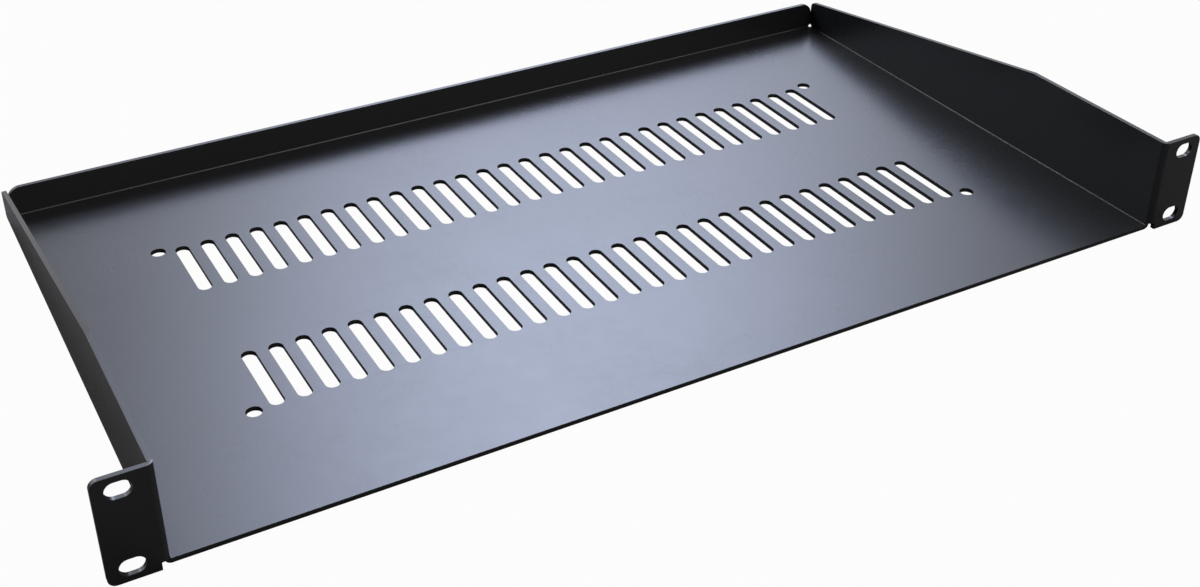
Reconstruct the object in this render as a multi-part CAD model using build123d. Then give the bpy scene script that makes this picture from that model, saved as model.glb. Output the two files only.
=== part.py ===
from build123d import *
import os

# Vented rack shelf, one folded steel sheet, in millimetres.
# The origin is the centre of the four ear slots, on the faces of the ears that meet the rack.
# X runs to the right, Y runs back into the rack, Z runs up.

# Sheet
sheet = 2.0
bend_radius = 0.5

# Front panel: two ears folded outwards from the side walls
ear_width = 19.1
panel_height = 43.4
ear_corner_radius = 3.2
rack_hole_edge_distance = 8.75
rack_hole_span_z = 31.75
ear_slot_length = 9.1
ear_slot_width = 6.6

# Body
body_width = 444.4
body_depth = 254.0

# Side walls: a level top behind the ear, then a slope down to the back
wall_level_length = 80.0
wall_rear_height = 16.0
wall_rear_corner_radius = 3.0
wall_rear_overlap = 0.4

# Lip folded up along the back
lip_height = 15.8
lip_corner_radius = 6.0
lip_end_gap = 0.15

# Vents: two rows of long slots
slot_length = 38.8
slot_width = 6.0
slot_pitch = 11.11
slots_per_row = 30
slot_row_spacing = 89.5
slot_rows = 2

# Round holes that take screws up into the equipment
device_hole_diameter = 6.4
device_hole_span_x = 341.8
device_hole_span_y = 127.8

# Reliefs where two folds meet
corner_relief_radius = 1.4
ear_notch_width = 1.25
ear_notch_height = 3.2

# Places that follow from the sizes above
outer_bend_radius = bend_radius + sheet
underside_z = -panel_height / 2
tray_top_z = underside_z + sheet
fold_end_z = underside_z + outer_bend_radius
wall_top_z = panel_height / 2
panel_width = body_width + 2 * ear_width
rack_hole_span_x = panel_width - 2 * rack_hole_edge_distance
wall_outer_x = body_width / 2
wall_inner_x = wall_outer_x - sheet
tray_edge_x = wall_outer_x - outer_bend_radius
lip_inner_y = body_depth - sheet
tray_edge_y = body_depth - outer_bend_radius
wall_end_y = lip_inner_y + wall_rear_overlap
lip_end_x = wall_inner_x - lip_end_gap
vent_centre_y = lip_inner_y / 2


def fold(length):
    """A quarter turn of sheet about the Y axis, from flat below the axis to upright beside it."""
    ring = Circle(outer_bend_radius) - Circle(bend_radius)
    quarter = ring & Rectangle(outer_bend_radius, outer_bend_radius, align=(Align.MIN, Align.MAX))
    return extrude(Plane.XZ * quarter, amount=-length)


def tray():
    """The flat bottom, between the folds."""
    outline = Rectangle(2 * tray_edge_x, tray_edge_y, align=(Align.CENTER, Align.MIN))
    plate = outline - Pos(0, vent_centre_y) * (vents() + device_holes())
    return extrude(Pos(0, 0, underside_z) * plate, amount=sheet)


def vents():
    """Two rows of slots that run from front to back."""
    slot = SlotOverall(slot_length, slot_width, rotation=90)
    return Sketch() + [
        place * slot for place in GridLocations(slot_pitch, slot_row_spacing, slots_per_row, slot_rows)
    ]


def device_holes():
    """Four round holes outside the vents."""
    hole = Circle(device_hole_diameter / 2)
    return Sketch() + [
        place * hole for place in GridLocations(device_hole_span_x, device_hole_span_y, 2, 2)
    ]


def right_wall():
    """The right side wall with its fold, drawn from the side and given the sheet's thickness."""
    rear_top_z = underside_z + wall_rear_height
    corners = [
        (bend_radius, fold_end_z),
        (wall_end_y, fold_end_z),
        (wall_end_y, rear_top_z),
        (wall_level_length, wall_top_z),
        (bend_radius, wall_top_z),
    ]
    outline = make_face(Polyline(*corners, close=True))
    rear_corner = outline.vertices().sort_by_distance((wall_end_y, rear_top_z))[0]
    outline = fillet(rear_corner, wall_rear_corner_radius)
    wall = extrude(Pos(wall_inner_x, 0, 0) * (Plane.YZ * outline), amount=sheet)
    return wall + Pos(tray_edge_x, 0, fold_end_z) * fold(wall_end_y)


def right_ear():
    """The right ear with its fold, its two slots and the notch that frees its fold from the tray."""
    ear_start_x = wall_outer_x + bend_radius
    upright_fold = Pos(ear_start_x, bend_radius, underside_z) * (
        Rot(0, 0, 180) * Rot(90, 0, 0) * fold(panel_height)
    )
    panel = RectangleRounded(panel_width, panel_height, ear_corner_radius)
    beyond_fold = Pos(ear_start_x, 0) * Rectangle(
        panel_width, panel_height, align=(Align.MIN, Align.CENTER)
    )
    slots = [
        Pos(rack_hole_span_x / 2, side * rack_hole_span_z / 2) * SlotOverall(ear_slot_length, ear_slot_width)
        for side in (-1, 1)
    ]
    ear = extrude(Plane.XZ * ((panel & beyond_fold) - slots), amount=sheet)
    notch = Pos(wall_inner_x, bend_radius, underside_z) * Box(
        sheet + ear_notch_width,
        sheet + bend_radius,
        ear_notch_height,
        align=(Align.MIN, Align.MAX, Align.MIN),
    )
    return upright_fold + ear - notch


def lip():
    """The back lip with its fold."""
    lip_flat_height = lip_height - outer_bend_radius
    outline = Pos(0, fold_end_z) * Rectangle(
        2 * lip_end_x, lip_flat_height, align=(Align.CENTER, Align.MIN)
    )
    outline = fillet(outline.vertices().group_by(Axis.Y)[-1], lip_corner_radius)
    upright = Pos(0, body_depth, 0) * extrude(Plane.XZ * outline, amount=sheet)
    return upright + Pos(lip_end_x, tray_edge_y, fold_end_z) * (Rot(0, 0, 90) * fold(2 * lip_end_x))


def right_corner_relief():
    """A round hole centred on the inner corner, through the tray, the wall and the lip."""
    reach = 2 * outer_bend_radius
    drill = Cylinder(corner_relief_radius, reach, align=(Align.CENTER, Align.CENTER, Align.MAX))
    through_tray = Pos(0, 0, bend_radius) * drill
    through_wall = Rot(0, -90, 0) * through_tray
    through_lip = Rot(90, 0, 0) * through_tray
    return Pos(wall_inner_x, lip_inner_y, tray_top_z) * (through_tray + through_wall + through_lip)


def vented_shelf():
    """The whole folded sheet."""
    right_side = right_wall() + right_ear()
    relief = right_corner_relief()
    shelf = tray() + lip() + right_side + mirror(right_side, about=Plane.YZ)
    return shelf - relief - mirror(relief, about=Plane.YZ)


os.makedirs("parts", exist_ok=True)
export_step(vented_shelf(), "parts/vented_shelf.step")
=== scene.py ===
import math

import bmesh
import bpy
from bpy.props import FloatProperty, FloatVectorProperty, IntProperty, PointerProperty
from mathutils import Euler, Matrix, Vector


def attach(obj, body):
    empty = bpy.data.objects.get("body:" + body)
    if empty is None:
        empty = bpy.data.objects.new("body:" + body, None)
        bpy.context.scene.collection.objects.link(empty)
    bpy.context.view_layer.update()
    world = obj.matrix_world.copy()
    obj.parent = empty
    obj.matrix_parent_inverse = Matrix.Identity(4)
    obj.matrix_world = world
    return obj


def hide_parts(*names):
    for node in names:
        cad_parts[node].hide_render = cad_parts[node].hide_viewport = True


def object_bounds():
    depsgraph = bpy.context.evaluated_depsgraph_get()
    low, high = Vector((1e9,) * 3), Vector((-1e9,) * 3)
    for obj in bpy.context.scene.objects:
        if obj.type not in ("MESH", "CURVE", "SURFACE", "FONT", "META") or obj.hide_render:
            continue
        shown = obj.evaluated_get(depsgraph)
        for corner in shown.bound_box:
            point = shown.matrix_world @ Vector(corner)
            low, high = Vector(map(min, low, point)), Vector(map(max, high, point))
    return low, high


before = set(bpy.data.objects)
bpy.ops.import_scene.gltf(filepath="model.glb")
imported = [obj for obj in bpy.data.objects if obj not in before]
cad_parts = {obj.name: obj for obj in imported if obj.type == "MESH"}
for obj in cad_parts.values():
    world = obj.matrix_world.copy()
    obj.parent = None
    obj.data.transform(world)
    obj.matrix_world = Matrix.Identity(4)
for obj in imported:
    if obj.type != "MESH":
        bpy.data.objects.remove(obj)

bl_info = {
    "name": "Vented Rack Shelf",
    "version": (1, 0, 0),
    "blender": (4, 5, 0),
    "location": "3D View > Sidebar > Rack Shelf",
    "description": "A one-unit vented rack shelf, folded from one steel sheet, in a studio",
    "category": "Add Mesh",
}

CAD_BOX = [list(corner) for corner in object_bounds()]
CAD_NODE = "vented_shelf"
QUARTER_TURN = math.pi / 2
MM = 0.001


def length(name, description, millimetres):
    """A length property. Its default is given in millimetres."""
    return FloatProperty(
        name=name, description=description, default=millimetres * MM, unit="LENGTH", precision=5
    )


def angle(name, description, degrees):
    """An angle property. Its default is given in degrees."""
    return FloatProperty(
        name=name, description=description, default=math.radians(degrees), unit="ROTATION"
    )


def count(name, description, default, least=1):
    """A whole number property."""
    return IntProperty(name=name, description=description, default=default, min=least)


def tint(name, description, color):
    """A colour property."""
    return FloatVectorProperty(
        name=name, description=description, subtype="COLOR", size=3, default=color
    )


def wattage(name, description, power):
    """A lamp's power property."""
    return FloatProperty(name=name, description=description, default=power, unit="POWER")


class SheetSizes(bpy.types.PropertyGroup):
    """Sizes of the folded sheet."""

    thickness: length("Thickness", "Thickness of the steel sheet", 2.0)
    bend_radius: length("Bend radius", "Radius on the inside of each fold", 0.5)
    edge_radius: length("Edge radius", "Rounding that the coat leaves on cut edges", 0.08)
    edge_segments: count("Edge segments", "Strips in each rounded edge", 3)
    body_width: length("Body width", "Outside to outside of the side walls", 444.4)
    body_depth: length("Body depth", "From the backs of the ears to the back of the lip", 254.0)
    panel_height: length("Panel height", "Height of the ears, one rack unit", 43.4)
    ear_width: length("Ear width", "From the side wall's outside to the ear's outer edge", 19.1)
    ear_corner_radius: length("Ear corner radius", "Radius of the ears' outer corners", 3.2)
    wall_level_length: length(
        "Level length", "Depth over which the side wall keeps its full height", 80.0
    )
    wall_rear_height: length("Rear height", "Height of the side wall at its back end", 16.0)
    wall_rear_radius: length("Rear radius", "Radius of the side wall's upper rear corner", 3.0)
    wall_rear_overlap: length(
        "Rear overlap", "How far the side wall passes the lip's inner face", 0.4
    )
    lip_height: length("Lip height", "Height of the lip along the back", 15.8)
    lip_corner_radius: length("Lip corner radius", "Radius of the lip's upper corners", 6.0)
    lip_end_gap: length("Lip end gap", "Gap between each end of the lip and the side wall", 0.15)
    corner_relief_radius: length(
        "Corner relief", "Radius of the relief in the flat sheet where two folds meet", 1.9
    )
    corner_relief_offset: length(
        "Relief offset", "The relief's centre, measured past both fold lines", 1.15
    )
    notch_height: length("Notch height", "Height of the notch that frees the ear's fold", 3.2)
    notch_reach: length("Notch reach", "How far the notch runs past the ear's fold", 0.75)
    fold_segments: count("Fold segments", "Strips in each fold", 9, least=2)


class VentSizes(bpy.types.PropertyGroup):
    """Sizes and numbers of everything that is punched."""

    slot_length: length("Slot length", "Overall length of a vent slot", 38.8)
    slot_width: length("Slot width", "Width of a vent slot", 6.0)
    slot_pitch: length("Slot pitch", "Distance from one vent slot to the next", 11.11)
    row_spacing: length("Row spacing", "Distance between the middles of the two rows", 89.5)
    slots_per_row: count("Slots per row", "Vent slots in each row", 30)
    rows: count("Rows", "Rows of vent slots", 2)
    hole_diameter: length("Hole diameter", "Diameter of the round holes", 6.4)
    hole_span_x: length("Hole span across", "Round holes, from left to right", 341.8)
    hole_span_y: length("Hole span in depth", "Round holes, from front to back", 127.8)
    ear_slot_length: length("Ear slot length", "Overall length of an ear's slot", 9.1)
    ear_slot_width: length("Ear slot width", "Width of an ear's slot", 6.6)
    ear_slot_inset: length("Ear slot inset", "From the ear's outer edge to the slot's middle", 8.75)
    ear_slot_span: length("Ear slot span", "Distance between an ear's two slots", 31.75)


class CoatSettings(bpy.types.PropertyGroup):
    """The satin near-black powder coat."""

    color: tint("Colour", "Colour of the coat", (0.0135, 0.0138, 0.015))
    pale_color: tint(
        "Lighter colour", "Colour of the coat where it lies thin", (0.0155, 0.0158, 0.0172)
    )
    roughness_low: FloatProperty(
        name="Lowest roughness",
        description="Roughness where the coat is smoothest",
        default=0.25,
        subtype="FACTOR",
    )
    roughness_high: FloatProperty(
        name="Highest roughness",
        description="Roughness where the coat is dullest",
        default=0.28,
        subtype="FACTOR",
    )
    grain_size: length("Grain size", "Width of the coat's fine grain", 0.6)
    grain_depth: length("Grain depth", "Depth of the coat's fine grain", 0.002)


class StudioSettings(bpy.types.PropertyGroup):
    """The floor, the lamps and the surroundings."""

    floor_color: tint("Floor colour", "Colour that the floor throws back", (0.23, 0.21, 0.19))
    glow_strength: FloatProperty(
        name="Glow", description="Brightness of the soft glow behind the shelf", default=17.5
    )
    glow_color: tint("Glow colour", "Colour of the glow", (0.665, 0.748, 1.0))
    glow_azimuth: angle(
        "Glow azimuth", "Direction of the glow, from straight back towards the right", 28.1
    )
    glow_elevation: angle("Glow elevation", "Height of the glow above the floor", 42.1)
    glow_width: angle("Glow width", "Half width of the glow", 8.8)
    glow_height: angle("Glow height", "Half height of the glow", 9.1)
    back_power: wattage("Back power", "Power of the lamp behind on the left", 11.5)
    wall_accent_power: wattage(
        "Wall accent", "Power of the small lamp that draws the side wall's fold", 8.0
    )
    lip_accent_power: wattage(
        "Lip accent", "Power of the small lamp that draws the lip's fold", 12.0
    )
    front_power: wattage("Front power", "Power of the lamp in front", 5.0)
    sky_strength: FloatProperty(name="Sky", description="Light from all around", default=0.02)


class ShelfSettings(bpy.types.PropertyGroup):
    """All settings of the vented rack shelf."""

    sheet: PointerProperty(type=SheetSizes)
    vents: PointerProperty(type=VentSizes)
    coat: PointerProperty(type=CoatSettings)
    studio: PointerProperty(type=StudioSettings)


# The flat sheet lies in the XY plane, with its inner face at height 0 and its folds not yet made.

CORNER_SEGMENTS = 8
RELIEF_SEGMENTS = 28
SLOT_QUARTER_SEGMENTS = 12
HOLE_SEGMENTS = 48
NOTCH_CORNER_RADIUS = 0.3 * MM
WALL_SLOPE_RADIUS = 1.5 * MM

# Points closer together than this are one point, after a cut and in the filled blank.
SAME_PLACE = 0.001 * MM
SAME_BLANK_PLACE = 0.002 * MM


def flat_places(sheet):
    """Lines and heights of the flat sheet that follow from its sizes, by name."""
    outer_radius = sheet.bend_radius + sheet.thickness
    underside = -sheet.panel_height / 2
    places = {
        "fold_length": QUARTER_TURN * (sheet.bend_radius + sheet.thickness / 2),
        "wall_line": sheet.body_width / 2 - outer_radius,
        "lip_line": sheet.body_depth - outer_radius,
        "ear_line": sheet.bend_radius,
        "tray_top": underside + sheet.thickness,
        "underside": underside,
        "fold_end": underside + outer_radius,
    }
    places["upright_line"] = places["wall_line"] + places["fold_length"] - places["fold_end"]
    places["ear_flat"] = places["ear_line"] - places["fold_length"]
    places["ear_end"] = places["ear_flat"] - (sheet.ear_width - sheet.bend_radius)
    return places


def arc(center, radius, start, end, segments):
    """Points along an arc, with both its ends."""
    steps = [start + (end - start) * i / segments for i in range(segments + 1)]
    return [(center[0] + radius * math.cos(a), center[1] + radius * math.sin(a)) for a in steps]


def rounded_corner(before, corner, after, radius):
    """Points that round one corner of an outline."""
    if radius == 0:
        return [corner]
    to_before = [before[i] - corner[i] for i in range(2)]
    to_after = [after[i] - corner[i] for i in range(2)]
    start = math.atan2(to_before[1], to_before[0])
    end = math.atan2(to_after[1], to_after[0])
    opening = (start - end) % (2 * math.pi)
    convex = opening < math.pi
    half = opening / 2 if convex else math.pi - opening / 2
    middle = end + opening / 2 if convex else end + opening / 2 + math.pi
    reach = radius / math.sin(half)
    center = (corner[0] + reach * math.cos(middle), corner[1] + reach * math.sin(middle))
    first = start + (QUARTER_TURN if convex else -QUARTER_TURN)
    turn = math.pi - opening
    return arc(center, radius, first, first + turn, CORNER_SEGMENTS)


def right_half_outline(sheet, places):
    """The right half of the flat sheet's outline, from its front middle to its back middle."""
    upright = places["upright_line"]
    wall_end = sheet.body_depth - sheet.thickness + sheet.wall_rear_overlap
    lip_end = sheet.body_width / 2 - sheet.thickness - sheet.lip_end_gap
    lip_flat_height = places["underside"] + sheet.lip_height - places["fold_end"]
    lip_top = places["lip_line"] + places["fold_length"] + lip_flat_height
    fold_edge = places["wall_line"] + places["fold_length"]
    notch_top = upright + places["underside"] + sheet.notch_height
    notch_edge = places["ear_flat"] - sheet.notch_reach
    ear_low, ear_high = upright + places["underside"], upright + sheet.panel_height / 2
    wall_rear_top = upright + places["underside"] + sheet.wall_rear_height
    relief_x = places["wall_line"] + sheet.corner_relief_offset
    relief_y = places["lip_line"] + sheet.corner_relief_offset
    relief_start = math.asin((wall_end - relief_y) / sheet.corner_relief_radius)
    relief_end = math.acos((lip_end - relief_x) / sheet.corner_relief_radius)
    relief = arc(
        (relief_x, relief_y),
        sheet.corner_relief_radius,
        relief_start,
        relief_end - 2 * math.pi,
        RELIEF_SEGMENTS,
    )
    corners = [
        ((0, 0), 0),
        ((fold_edge, 0), NOTCH_CORNER_RADIUS),
        ((fold_edge, places["ear_line"]), 0),
        ((notch_top, places["ear_line"]), 0),
        ((notch_top, notch_edge), NOTCH_CORNER_RADIUS),
        ((ear_low, notch_edge), NOTCH_CORNER_RADIUS),
        ((ear_low, places["ear_end"]), sheet.ear_corner_radius),
        ((ear_high, places["ear_end"]), sheet.ear_corner_radius),
        ((ear_high, sheet.wall_level_length), WALL_SLOPE_RADIUS),
        ((wall_rear_top, wall_end), sheet.wall_rear_radius),
        *((point, 0) for point in relief),
        ((lip_end, lip_top), sheet.lip_corner_radius),
        ((0, lip_top), 0),
    ]
    points = [corners[0][0]]
    for (before, _), (corner, radius), (after, _) in zip(corners, corners[1:], corners[2:]):
        points += rounded_corner(before, corner, after, radius)
    return points + [corners[-1][0]]


def corner_offset(direction_in, direction_out):
    """The step out of a corner that keeps one unit of distance from both of its edges."""
    normals = [Vector((direction.y, -direction.x)) for direction in (direction_in, direction_out)]
    return (normals[0] + normals[1]) / (1 + normals[0].dot(normals[1]))


def inset_ring(ring, distance):
    """The ring, which runs counterclockwise, drawn in by a distance."""
    points = [Vector(point) for point in ring]
    drawn_in = []
    for before, point, after in zip(points[-1:] + points[:-1], points, points[1:] + points[:1]):
        out = corner_offset((point - before).normalized(), (after - point).normalized())
        drawn_in.append(point - distance * out)
    return drawn_in


def outline_mesh(sheet, places):
    """The outline of the sheet's flat face, inside its rounded edges, as a closed ring of edges."""
    right = right_half_outline(sheet, places)
    left = [(-x, y) for x, y in reversed(right[1:-1])]
    ring = [(x, y, 0) for x, y in inset_ring(right + left, sheet.edge_radius)]
    mesh = bpy.data.meshes.new("blank_outline")
    mesh.from_pydata(ring, [(i, (i + 1) % len(ring)) for i in range(len(ring))], [])
    return mesh


# Geometry node helpers

NODES_PER_COLUMN = 6
COLUMN_STEP = 200
ROW_STEP = 180


def new_tree(name, inputs):
    """A geometry node tree with named inputs. Returns the tree and its inputs' sockets by name."""
    tree = bpy.data.node_groups.new(name, "GeometryNodeTree")
    tree.is_modifier = True
    tree.interface.new_socket(name="Geometry", in_out="OUTPUT", socket_type="NodeSocketGeometry")
    tree.interface.new_socket(name="Geometry", in_out="INPUT", socket_type="NodeSocketGeometry")
    for label, kind in inputs:
        tree.interface.new_socket(name=label, in_out="INPUT", socket_type=f"NodeSocket{kind}")
    start = add_node(tree, "NodeGroupInput")
    return tree, {socket.name: socket for socket in start.outputs if socket.name}


def add_node(tree, kind, settings=None, inputs=None):
    """A node with its settings, and with its inputs linked or set, by name or number."""
    node = tree.nodes.new(kind)
    column, row = divmod(len(tree.nodes) - 1, NODES_PER_COLUMN)
    node.location = (column * COLUMN_STEP, -row * ROW_STEP)
    for key, value in (settings or {}).items():
        setattr(node, key, value)
    for key, value in (inputs or {}).items():
        if isinstance(value, bpy.types.NodeSocket):
            tree.links.new(value, node.inputs[key])
        else:
            node.inputs[key].default_value = value
    return node


def calc(tree, operation, *values):
    """The result of one math node."""
    node = add_node(tree, "ShaderNodeMath", {"operation": operation}, dict(enumerate(values)))
    return node.outputs[0]


def close_tree(tree, geometry, material):
    """Ends a tree in real geometry with its material."""
    real = add_node(tree, "GeometryNodeRealizeInstances", inputs={"Geometry": geometry})
    painted = add_node(
        tree, "GeometryNodeSetMaterial", inputs={"Geometry": real.outputs[0], "Material": material}
    )
    add_node(tree, "NodeGroupOutput", inputs={0: painted.outputs[0]})


def add_nodes_modifier(piece, tree, values):
    """Puts the tree on a piece and sets its inputs by their identifiers."""
    modifier = piece.modifiers.new(tree.name, "NODES")
    modifier.node_group = tree
    for item in tree.interface.items_tree:
        if item.item_type == "SOCKET" and item.in_out == "INPUT" and item.name in values:
            modifier[item.identifier] = values[item.name]
    return modifier


def evaluated_mesh(piece):
    """The piece's mesh with its modifiers made real."""
    bpy.context.view_layer.update()
    depsgraph = bpy.context.evaluated_depsgraph_get()
    return bpy.data.meshes.new_from_object(piece.evaluated_get(depsgraph))


# The blank: outline and punched holes


BLANK_INPUTS = [
    ("Edge Radius", "Float"),
    ("Slot Length", "Float"),
    ("Slot Width", "Float"),
    ("Slots per Row", "Int"),
    ("Rows", "Int"),
    ("Slot Pitch", "Float"),
    ("Row Spacing", "Float"),
    ("Vent Center", "Float"),
    ("Hole Radius", "Float"),
    ("Hole Span X", "Float"),
    ("Hole Span Y", "Float"),
    ("Ear Slot Length", "Float"),
    ("Ear Slot Width", "Float"),
    ("Ear Slot Span", "Float"),
    ("Ear Slot X", "Float"),
    ("Ear Slot Y", "Float"),
    ("Material", "Material"),
]


def slot_curve(tree, slot_length, slot_width, edge_radius):
    """A slot's outline on the flat face: a rectangle rounded until its ends are half circles."""
    widening = calc(tree, "MULTIPLY", edge_radius, 2)
    slot_width = calc(tree, "ADD", slot_width, widening)
    rectangle = add_node(
        tree,
        "GeometryNodeCurvePrimitiveQuadrilateral",
        inputs={"Width": slot_width, "Height": calc(tree, "ADD", slot_length, widening)},
    )
    ends = add_node(
        tree,
        "GeometryNodeFilletCurve",
        {"mode": "POLY"},
        {
            "Curve": rectangle.outputs[0],
            "Count": SLOT_QUARTER_SEGMENTS,
            "Radius": calc(tree, "MULTIPLY", slot_width, 0.5),
            "Limit Radius": True,
        },
    )
    return ends.outputs[0]


def on_grid(tree, curve, counts, spacings, center):
    """Copies of a curve on a grid of points."""
    sizes = [
        calc(tree, "MULTIPLY", calc(tree, "SUBTRACT", copies, 1), spacing)
        for copies, spacing in zip(counts, spacings)
    ]
    grid = add_node(
        tree,
        "GeometryNodeMeshGrid",
        inputs={
            "Size X": sizes[0],
            "Size Y": sizes[1],
            "Vertices X": counts[0],
            "Vertices Y": counts[1],
        },
    )
    middle = add_node(tree, "ShaderNodeCombineXYZ", inputs={"X": center[0], "Y": center[1]})
    placed = add_node(
        tree,
        "GeometryNodeTransform",
        inputs={"Geometry": grid.outputs[0], "Translation": middle.outputs[0]},
    )
    instances = add_node(
        tree,
        "GeometryNodeInstanceOnPoints",
        inputs={"Points": placed.outputs[0], "Instance": curve},
    )
    return instances.outputs[0]


def blank_tree():
    """The tree that fills the outline and leaves the vents and holes open."""
    tree, given = new_tree("punched_blank", BLANK_INPUTS)
    outline = add_node(tree, "GeometryNodeMeshToCurve", inputs={"Mesh": given["Geometry"]})
    edge = given["Edge Radius"]
    vent = slot_curve(tree, given["Slot Length"], given["Slot Width"], edge)
    ear_slot = slot_curve(tree, given["Ear Slot Length"], given["Ear Slot Width"], edge)
    hole_radius = calc(tree, "ADD", given["Hole Radius"], edge)
    hole = add_node(
        tree,
        "GeometryNodeCurvePrimitiveCircle",
        inputs={"Resolution": HOLE_SEGMENTS, "Radius": hole_radius},
    )
    ear_left = calc(tree, "MULTIPLY", given["Ear Slot X"], -1)
    punched = [
        on_grid(
            tree,
            vent,
            (given["Slots per Row"], given["Rows"]),
            (given["Slot Pitch"], given["Row Spacing"]),
            (0, given["Vent Center"]),
        ),
        on_grid(
            tree,
            hole.outputs[0],
            (2, 2),
            (given["Hole Span X"], given["Hole Span Y"]),
            (0, given["Vent Center"]),
        ),
        *(
            on_grid(tree, ear_slot, (2, 1), (given["Ear Slot Span"], 0), (x, given["Ear Slot Y"]))
            for x in (ear_left, given["Ear Slot X"])
        ),
    ]
    together = add_node(tree, "GeometryNodeJoinGeometry")
    for curve in [outline.outputs[0], *punched]:
        tree.links.new(curve, together.inputs[0])
    curves = add_node(
        tree, "GeometryNodeRealizeInstances", inputs={"Geometry": together.outputs[0]}
    )
    filled = add_node(tree, "GeometryNodeFillCurve", inputs={"Curve": curves.outputs[0]})
    clean = add_node(
        tree,
        "GeometryNodeMergeByDistance",
        inputs={"Geometry": filled.outputs[0], "Distance": SAME_BLANK_PLACE},
    )
    close_tree(tree, clean.outputs[0], given["Material"])
    return tree


def punched_blank(sheet, vents, places, material):
    """The flat sheet with its holes, as a plain mesh."""
    piece = bpy.data.objects.new("punched_blank", outline_mesh(sheet, places))
    bpy.context.scene.collection.objects.link(piece)
    values = {
        "Edge Radius": sheet.edge_radius,
        "Slot Length": vents.slot_length,
        "Slot Width": vents.slot_width,
        "Slots per Row": vents.slots_per_row,
        "Rows": vents.rows,
        "Slot Pitch": vents.slot_pitch,
        "Row Spacing": vents.row_spacing,
        "Vent Center": (sheet.body_depth - sheet.thickness) / 2,
        "Hole Radius": vents.hole_diameter / 2,
        "Hole Span X": vents.hole_span_x,
        "Hole Span Y": vents.hole_span_y,
        "Ear Slot Length": vents.ear_slot_length,
        "Ear Slot Width": vents.ear_slot_width,
        "Ear Slot Span": vents.ear_slot_span,
        "Ear Slot X": places["upright_line"],
        "Ear Slot Y": places["ear_end"] + vents.ear_slot_inset,
        "Material": material,
    }
    add_nodes_modifier(piece, blank_tree(), values)
    mesh = evaluated_mesh(piece)
    bpy.data.objects.remove(piece)
    return mesh


def divide_folds(mesh, sheet, places):
    """Cuts strips into the flat sheet wherever it will be folded."""
    shape = bmesh.new()
    shape.from_mesh(mesh)
    strips = sheet.fold_segments
    steps = [places["fold_length"] * i / strips for i in range(strips + 1)]
    cuts = [(side * (places["wall_line"] + step), (1, 0, 0)) for step in steps for side in (-1, 1)]
    cuts += [(places["lip_line"] + step, (0, 1, 0)) for step in steps]
    cuts += [(places["ear_line"] - step, (0, 1, 0)) for step in steps]
    for place, normal in cuts:
        parts = shape.verts[:] + shape.edges[:] + shape.faces[:]
        point = [place * axis for axis in normal]
        bmesh.ops.bisect_plane(shape, geom=parts, dist=SAME_PLACE, plane_co=point, plane_no=normal)
    for face in shape.faces:
        if face.normal.z < 0:
            face.normal_flip()
    shape.to_mesh(mesh)
    shape.free()


def merge_doubles(mesh):
    """Joins points that lie in the same place, as where a cut meets an inner corner."""
    shape = bmesh.new()
    shape.from_mesh(mesh)
    bmesh.ops.remove_doubles(shape, verts=shape.verts[:], dist=SAME_PLACE)
    shape.to_mesh(mesh)
    shape.free()


def edge_profile(sheet):
    """Steps around a rounded edge, from the inner face to the outer: how far out and down."""
    radius = sheet.edge_radius
    steps = [QUARTER_TURN * (i + 1) / sheet.edge_segments for i in range(sheet.edge_segments)]
    upper = [(radius * math.sin(a), radius * (1 - math.cos(a))) for a in steps]
    return upper + [(reach, sheet.thickness - drop) for reach, drop in reversed(upper)]


def thick_sheet(flat, sheet):
    """A closed shell: the flat face, its copy on the other side, and the edge between them."""
    points = [vertex.co.to_2d() for vertex in flat.vertices]
    faces = [tuple(polygon.vertices) for polygon in flat.polygons]
    sides = {pair for face in faces for pair in zip(face, face[1:] + face[:1])}
    rim = {start: end for start, end in sides if (end, start) not in sides}
    directions = {start: (points[end] - points[start]).normalized() for start, end in rim.items()}
    arriving = {end: directions[start] for start, end in rim.items()}
    total = len(points)
    places = [(x, y, 0) for x, y in points] + [(x, y, -sheet.thickness) for x, y in points]
    columns = {}
    for vertex, direction in directions.items():
        out = corner_offset(arriving[vertex], direction)
        first = len(places)
        for reach, drop in edge_profile(sheet):
            places.append((*(points[vertex] + reach * out), -drop))
        columns[vertex] = [vertex, *range(first, len(places)), vertex + total]
    shell = faces + [tuple(vertex + total for vertex in reversed(face)) for face in faces]
    for start, end in rim.items():
        left, right = columns[start], columns[end]
        shell += zip(right, left, left[1:], right[1:])
    mesh = bpy.data.meshes.new("thick_sheet")
    mesh.from_pydata(places, [], shell)
    merge_doubles(mesh)
    return mesh


# The folds

# In front of the ear line, a point is on the ear if it lies this far above the wall's fold, or
# this far in front of the tray. The rest is the front edge of the tray and of its fold.
EAR_ABOVE_FOLD = 0.2 * MM
EAR_BEFORE_TRAY = 0.5 * MM

FOLD_INPUTS = [
    ("Thickness", "Float"),
    ("Bend Radius", "Float"),
    ("Fold Length", "Float"),
    ("Wall Line", "Float"),
    ("Lip Line", "Float"),
    ("Ear Line", "Float"),
    ("Tray Top", "Float"),
    ("Material", "Material"),
]


def quarter_fold(tree, distance, fold_length):
    """Sine and cosine of the turn at a distance past a fold line, and how far past the fold."""
    share = add_node(
        tree, "ShaderNodeClamp", inputs={"Value": calc(tree, "DIVIDE", distance, fold_length)}
    )
    turn = calc(tree, "MULTIPLY", share.outputs[0], QUARTER_TURN)
    beyond = calc(tree, "MAXIMUM", calc(tree, "SUBTRACT", distance, fold_length), 0)
    return calc(tree, "SINE", turn), calc(tree, "COSINE", turn), beyond


def fold_up(tree, place, distance, radius, sine):
    """Where a point ends up, measured along the sheet, once its flap is folded up."""
    before = calc(tree, "SUBTRACT", place, calc(tree, "MAXIMUM", distance, 0))
    return calc(tree, "ADD", before, calc(tree, "MULTIPLY", radius, sine))


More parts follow.
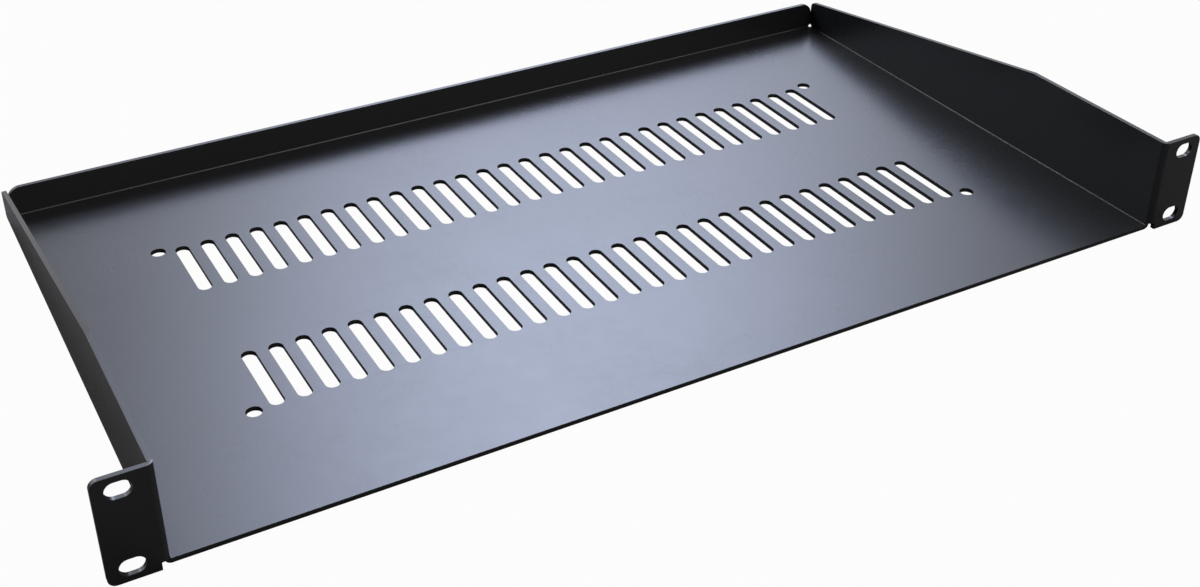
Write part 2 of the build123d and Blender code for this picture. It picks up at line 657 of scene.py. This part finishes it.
def body_place(tree, given, across, depth, height, past_wall, past_lip):
    """Places of the tray, the side walls and the lip."""
    on_wall = calc(tree, "GREATER_THAN", past_wall, past_lip)
    wall_distance = calc(tree, "MULTIPLY", past_wall, on_wall)
    lip_distance = calc(tree, "MULTIPLY", past_lip, calc(tree, "SUBTRACT", 1, on_wall))
    wall_sine, wall_cosine, wall_rise = quarter_fold(tree, wall_distance, given["Fold Length"])
    lip_sine, lip_cosine, lip_rise = quarter_fold(tree, lip_distance, given["Fold Length"])
    radius = calc(tree, "SUBTRACT", given["Bend Radius"], height)
    center = calc(tree, "ADD", given["Tray Top"], given["Bend Radius"])
    drop = calc(tree, "MULTIPLY", radius, calc(tree, "MULTIPLY", wall_cosine, lip_cosine))
    rise = calc(tree, "ADD", wall_rise, lip_rise)
    return (
        fold_up(tree, across, wall_distance, radius, wall_sine),
        fold_up(tree, depth, lip_distance, radius, lip_sine),
        calc(tree, "ADD", calc(tree, "SUBTRACT", center, drop), rise),
    )


def ear_place(tree, given, height, past_wall, past_ear):
    """Places of the ears, which fold outwards from the front edges of the side walls."""
    sine, cosine, beyond = quarter_fold(tree, past_ear, given["Fold Length"])
    outer = calc(tree, "ADD", given["Bend Radius"], given["Thickness"])
    radius = calc(tree, "ADD", outer, height)
    center = calc(tree, "ADD", given["Wall Line"], calc(tree, "ADD", outer, given["Bend Radius"]))
    across = calc(tree, "SUBTRACT", center, calc(tree, "MULTIPLY", radius, cosine))
    upright = calc(tree, "SUBTRACT", past_wall, given["Fold Length"])
    fold_end = calc(tree, "ADD", given["Tray Top"], given["Bend Radius"])
    return (
        calc(tree, "ADD", across, beyond),
        calc(tree, "SUBTRACT", given["Ear Line"], calc(tree, "MULTIPLY", radius, sine)),
        calc(tree, "ADD", fold_end, upright),
    )


def fold_tree():
    """The tree that folds the flat sheet: walls and lip upwards, ears outwards."""
    tree, given = new_tree("fold_sheet", FOLD_INPUTS)
    position = add_node(tree, "GeometryNodeInputPosition")
    flat = add_node(tree, "ShaderNodeSeparateXYZ", inputs={0: position.outputs[0]})
    x, depth, height = flat.outputs
    across, side = calc(tree, "ABSOLUTE", x), calc(tree, "SIGN", x)
    past_wall = calc(tree, "SUBTRACT", across, given["Wall Line"])
    past_lip = calc(tree, "SUBTRACT", depth, given["Lip Line"])
    past_ear = calc(tree, "SUBTRACT", given["Ear Line"], depth)
    past_fold = calc(tree, "SUBTRACT", past_wall, given["Fold Length"])
    above_fold = calc(tree, "GREATER_THAN", past_fold, EAR_ABOVE_FOLD)
    before_tray = calc(tree, "LESS_THAN", depth, -EAR_BEFORE_TRAY)
    before_line = calc(tree, "GREATER_THAN", past_ear, 0)
    on_ear = calc(tree, "MULTIPLY", before_line, calc(tree, "MAXIMUM", above_fold, before_tray))
    places = []
    for px, py, pz in (
        body_place(tree, given, across, depth, height, past_wall, past_lip),
        ear_place(tree, given, height, past_wall, past_ear),
    ):
        sided = calc(tree, "MULTIPLY", px, side)
        place = add_node(tree, "ShaderNodeCombineXYZ", inputs={"X": sided, "Y": py, "Z": pz})
        places.append(place.outputs[0])
    chosen = add_node(
        tree,
        "GeometryNodeSwitch",
        {"input_type": "VECTOR"},
        {"Switch": on_ear, "False": places[0], "True": places[1]},
    )
    folded = add_node(
        tree,
        "GeometryNodeSetPosition",
        inputs={"Geometry": given["Geometry"], "Position": chosen.outputs[0]},
    )
    close_tree(tree, folded.outputs[0], given["Material"])
    return tree


def add_fold(piece, sheet, places, material):
    """Folds a piece of thick flat sheet, and shades it evenly."""
    values = {
        "Thickness": sheet.thickness,
        "Bend Radius": sheet.bend_radius,
        "Fold Length": places["fold_length"],
        "Wall Line": places["wall_line"],
        "Lip Line": places["lip_line"],
        "Ear Line": places["ear_line"],
        "Tray Top": places["tray_top"],
        "Material": material,
    }
    add_nodes_modifier(piece, fold_tree(), values)
    shading = piece.modifiers.new("even_shading", "WEIGHTED_NORMAL")
    shading.mode = "FACE_AREA"
    shading.weight = 50


class SHELF_OT_folded_sheet(bpy.types.Operator):
    """Make the folded sheet: tray, walls, lip and ears in one piece, with its vents and holes"""

    bl_idname = "rack_shelf.folded_sheet"
    bl_label = "Folded Sheet"

    def execute(self, context):
        settings = context.scene.rack_shelf
        sheet = settings.sheet
        places = flat_places(sheet)
        material = powder_coat(settings.coat)
        blank = punched_blank(sheet, settings.vents, places, material)
        divide_folds(blank, sheet, places)
        mesh = thick_sheet(blank, sheet)
        mesh.shade_smooth()
        piece = bpy.data.objects.new("folded_sheet", mesh)
        context.scene.collection.objects.link(piece)
        add_fold(piece, sheet, places, material)
        piece.data = evaluated_mesh(piece)
        piece.modifiers.clear()
        if len(piece.data.polygons) == 0:
            raise RuntimeError("the folded sheet has no faces")
        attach(piece, "root")
        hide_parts(CAD_NODE)
        return {"FINISHED"}


# Materials

CLOUD_SIZE = 40 * MM
CLOUD_SHARE = 0.6
PATCH_SIZE = 6 * MM
PATCH_SHARE = 0.4
USUAL_NOISE = (0.35, 0.65)  # the range that most of the noise lies in
RIPPLE_TO_GRAIN = 4
RIPPLE_SHARE = 0.6
GRAIN_CONTRAST = 0.6
COAT_SPECULAR = 0.35
FLOOR_WHITE_SHARE = 0.97


def new_material(name):
    """A material with an empty node tree."""
    material = bpy.data.materials.new(name)
    material.use_nodes = True
    material.node_tree.nodes.clear()
    return material, material.node_tree


def noise(tree, coordinates, feature_size, detail, roughness=0.5):
    """Noise whose features have the given size in metres."""
    node = add_node(
        tree,
        "ShaderNodeTexNoise",
        inputs={
            "Vector": coordinates,
            "Scale": 1 / feature_size,
            "Detail": detail,
            "Roughness": roughness,
        },
    )
    return node.outputs["Fac"]


def between(tree, value, low, high, to_low, to_high):
    """A value spread from one range to another."""
    node = add_node(
        tree,
        "ShaderNodeMapRange",
        inputs={
            "Value": value,
            "From Min": low,
            "From Max": high,
            "To Min": to_low,
            "To Max": to_high,
        },
    )
    return node.outputs[0]


def powder_coat(coat):
    """Satin near-black powder coat with a fine grain, and soft clouds in its gloss and colour."""
    material, tree = new_material("satin_powder_coat")
    place = add_node(tree, "ShaderNodeTexCoord").outputs["Object"]
    clouds = noise(tree, place, CLOUD_SIZE, detail=3)
    patches = noise(tree, place, PATCH_SIZE, detail=2)
    grain = noise(tree, place, coat.grain_size, detail=2, roughness=GRAIN_CONTRAST)
    ripple = noise(tree, place, RIPPLE_TO_GRAIN * coat.grain_size, detail=1)
    color = add_node(
        tree,
        "ShaderNodeMix",
        {"data_type": "RGBA"},
        {"Factor": clouds, "A": (*coat.color, 1), "B": (*coat.pale_color, 1)},
    )
    gloss = calc(
        tree,
        "ADD",
        calc(tree, "MULTIPLY", clouds, CLOUD_SHARE),
        calc(tree, "MULTIPLY", patches, PATCH_SHARE),
    )
    roughness = between(tree, gloss, *USUAL_NOISE, coat.roughness_low, coat.roughness_high)
    relief = calc(tree, "ADD", grain, calc(tree, "MULTIPLY", ripple, RIPPLE_SHARE))
    bump = add_node(
        tree,
        "ShaderNodeBump",
        inputs={"Strength": 1.0, "Distance": coat.grain_depth, "Height": relief},
    )
    surface = add_node(
        tree,
        "ShaderNodeBsdfPrincipled",
        inputs={
            "Base Color": color.outputs["Result"],
            "Roughness": roughness,
            "Specular IOR Level": COAT_SPECULAR,
            "Normal": bump.outputs[0],
        },
    )
    add_node(tree, "ShaderNodeOutputMaterial", inputs={"Surface": surface.outputs[0]})
    return material


def floor_material(studio):
    """A matt floor that the camera sees near white, with the object's soft shadow."""
    material, tree = new_material("pale_floor")
    matt = add_node(tree, "ShaderNodeBsdfDiffuse", inputs={"Color": (*studio.floor_color, 1)})
    white = add_node(tree, "ShaderNodeEmission", inputs={"Color": (1, 1, 1, 1), "Strength": 1.0})
    seen = add_node(tree, "ShaderNodeLightPath").outputs["Is Camera Ray"]
    share = calc(tree, "MULTIPLY", seen, FLOOR_WHITE_SHARE)
    mixed = add_node(
        tree, "ShaderNodeMixShader", inputs={0: share, 1: matt.outputs[0], 2: white.outputs[0]}
    )
    add_node(tree, "ShaderNodeOutputMaterial", inputs={"Surface": mixed.outputs[0]})
    return material


# The studio

FLOOR_HALF_WIDTH = 6.0
LARGE_LAMP = (1.6, 0.9)
LONG_LAMP = (1.2, 0.35)
SMALL_LAMP = (0.5, 0.35)
LAMP_DISTANCE = 2.0
LAMP_TARGET_DEPTH = 0.12
WHITE_LIGHT = (1.0, 1.0, 1.0)
COOL_LIGHT = (0.76, 0.84, 1.0)
GLOW_STEEPNESS_ACROSS = 2.7
GLOW_STEEPNESS_ABOVE = 2.0
GLOW_FADE = -0.5  # the logarithm of the share at one half width from the middle


def add_floor(context, studio):
    """A plain floor under the shelf."""
    half = FLOOR_HALF_WIDTH
    height = CAD_BOX[0][2]
    mesh = bpy.data.meshes.new("floor")
    square = [(-half, -half), (half, -half), (half, half), (-half, half)]
    mesh.from_pydata([(x, y, height) for x, y in square], [], [(0, 1, 2, 3)])
    mesh.materials.append(floor_material(studio))
    floor = bpy.data.objects.new("floor", mesh)
    context.scene.collection.objects.link(floor)


def add_lamp(context, name, power, size, color, azimuth, elevation):
    """A soft rectangular lamp, placed by two angles in degrees. The azimuth is from +Y to +X."""
    lamp = bpy.data.lights.new(name, "AREA")
    lamp.shape = "RECTANGLE"
    lamp.size, lamp.size_y = size
    lamp.energy = power
    lamp.color = color
    holder = bpy.data.objects.new(name, lamp)
    turn, lift = math.radians(azimuth), math.radians(elevation)
    holder.location = (
        LAMP_DISTANCE * math.sin(turn) * math.cos(lift),
        LAMP_DISTANCE * math.cos(turn) * math.cos(lift) + LAMP_TARGET_DEPTH,
        LAMP_DISTANCE * math.sin(lift),
    )
    holder.rotation_euler = (QUARTER_TURN - lift, 0, math.pi - turn)
    holder.visible_camera = False
    context.scene.collection.objects.link(holder)


def glow_share(tree, studio):
    """The share of the glow's full strength in each direction: a bell shape around its middle."""
    turn, lift = studio.glow_azimuth, studio.glow_elevation
    toward = Euler((lift, 0, -turn)).to_matrix()
    direction = add_node(tree, "ShaderNodeTexCoord").outputs["Generated"]
    across, ahead, above = (
        add_node(
            tree,
            "ShaderNodeVectorMath",
            {"operation": "DOT_PRODUCT"},
            {0: direction, 1: toward.col[axis]},
        ).outputs["Value"]
        for axis in range(3)
    )
    spread = []
    for value, reach, steepness in (
        (across, studio.glow_width, GLOW_STEEPNESS_ACROSS),
        (above, studio.glow_height, GLOW_STEEPNESS_ABOVE),
    ):
        widths = calc(tree, "DIVIDE", calc(tree, "ABSOLUTE", value), math.sin(reach))
        spread.append(calc(tree, "POWER", widths, steepness))
    fade = calc(tree, "EXPONENT", calc(tree, "MULTIPLY", calc(tree, "ADD", *spread), GLOW_FADE))
    return calc(tree, "MULTIPLY", fade, calc(tree, "GREATER_THAN", ahead, 0))


def add_sky(context, studio):
    """Surroundings: white to the camera and in reflections, else faint, with a soft glow behind."""
    world = bpy.data.worlds.new("studio_sky")
    world.use_nodes = True
    tree = world.node_tree
    tree.nodes.clear()
    rays = add_node(tree, "ShaderNodeLightPath").outputs
    reflected = calc(tree, "MAXIMUM", rays["Is Glossy Ray"], rays["Is Transmission Ray"])
    seen = calc(tree, "MAXIMUM", rays["Is Camera Ray"], reflected)
    even_strength = between(tree, seen, 0, 1, studio.sky_strength, 1)
    even = add_node(
        tree, "ShaderNodeBackground", inputs={"Color": (1, 1, 1, 1), "Strength": even_strength}
    )
    unseen = calc(tree, "SUBTRACT", 1, rays["Is Camera Ray"])
    full_strength = calc(tree, "MULTIPLY", unseen, studio.glow_strength)
    strength = calc(tree, "MULTIPLY", glow_share(tree, studio), full_strength)
    glow = add_node(
        tree,
        "ShaderNodeBackground",
        inputs={"Color": (*studio.glow_color, 1), "Strength": strength},
    )
    sky = add_node(tree, "ShaderNodeAddShader", inputs={0: even.outputs[0], 1: glow.outputs[0]})
    add_node(tree, "ShaderNodeOutputWorld", inputs={"Surface": sky.outputs[0]})
    context.scene.world = world


def add_camera(context):
    """The camera, at the photograph's viewing angle."""
    camera = bpy.data.cameras.new("camera")
    camera.sensor_fit = "HORIZONTAL"
    camera.sensor_width = 36.0
    camera.lens = 46.8645
    camera.shift_x = 0.014218
    camera.shift_y = -0.063040
    holder = bpy.data.objects.new("camera", camera)
    holder.location = (-0.287370, -0.401805, 0.336983)
    holder.rotation_euler = [math.radians(turn) for turn in (59.42521, 0.02149, -28.89091)]
    context.scene.collection.objects.link(holder)
    context.scene.camera = holder


class SHELF_OT_studio(bpy.types.Operator):
    """Make the studio: a floor, four soft lamps, white surroundings with a glow, and the camera"""

    bl_idname = "rack_shelf.studio"
    bl_label = "Studio"

    def execute(self, context):
        studio = context.scene.rack_shelf.studio
        add_floor(context, studio)
        for name, power, size, color, azimuth, elevation in (
            ("back_lamp", studio.back_power, LARGE_LAMP, COOL_LIGHT, -42, 30),
            ("front_lamp", studio.front_power, LARGE_LAMP, WHITE_LIGHT, 165, 20),
            ("wall_accent_lamp", studio.wall_accent_power, SMALL_LAMP, WHITE_LIGHT, -22, 46),
            ("lip_accent_lamp", studio.lip_accent_power, LONG_LAMP, WHITE_LIGHT, 140, 60),
        ):
            add_lamp(context, name, power, size, color, azimuth, elevation)
        add_sky(context, studio)
        add_camera(context)
        context.scene.view_settings.view_transform = "Standard"
        return {"FINISHED"}


class SHELF_PT_panel(bpy.types.Panel):
    """Settings and makers of the vented rack shelf"""

    bl_idname = "SHELF_PT_panel"
    bl_label = "Vented Rack Shelf"
    bl_space_type = "VIEW_3D"
    bl_region_type = "UI"
    bl_category = "Rack Shelf"

    def draw(self, context):
        settings = context.scene.rack_shelf
        for group in (settings.sheet, settings.vents, settings.coat, settings.studio):
            box = self.layout.box()
            for name in group.__annotations__:
                box.prop(group, name)
        for operator in (SHELF_OT_folded_sheet, SHELF_OT_studio):
            self.layout.operator(operator.bl_idname)


CLASSES = (
    SheetSizes,
    VentSizes,
    CoatSettings,
    StudioSettings,
    ShelfSettings,
    SHELF_OT_folded_sheet,
    SHELF_OT_studio,
    SHELF_PT_panel,
)


def register():
    for cls in CLASSES:
        bpy.utils.register_class(cls)
    bpy.types.Scene.rack_shelf = PointerProperty(type=ShelfSettings)


def unregister():
    del bpy.types.Scene.rack_shelf
    for cls in reversed(CLASSES):
        bpy.utils.unregister_class(cls)


def main():
    register()
    bpy.ops.rack_shelf.folded_sheet()
    bpy.ops.rack_shelf.studio()


if __name__ == "__main__":
    main()
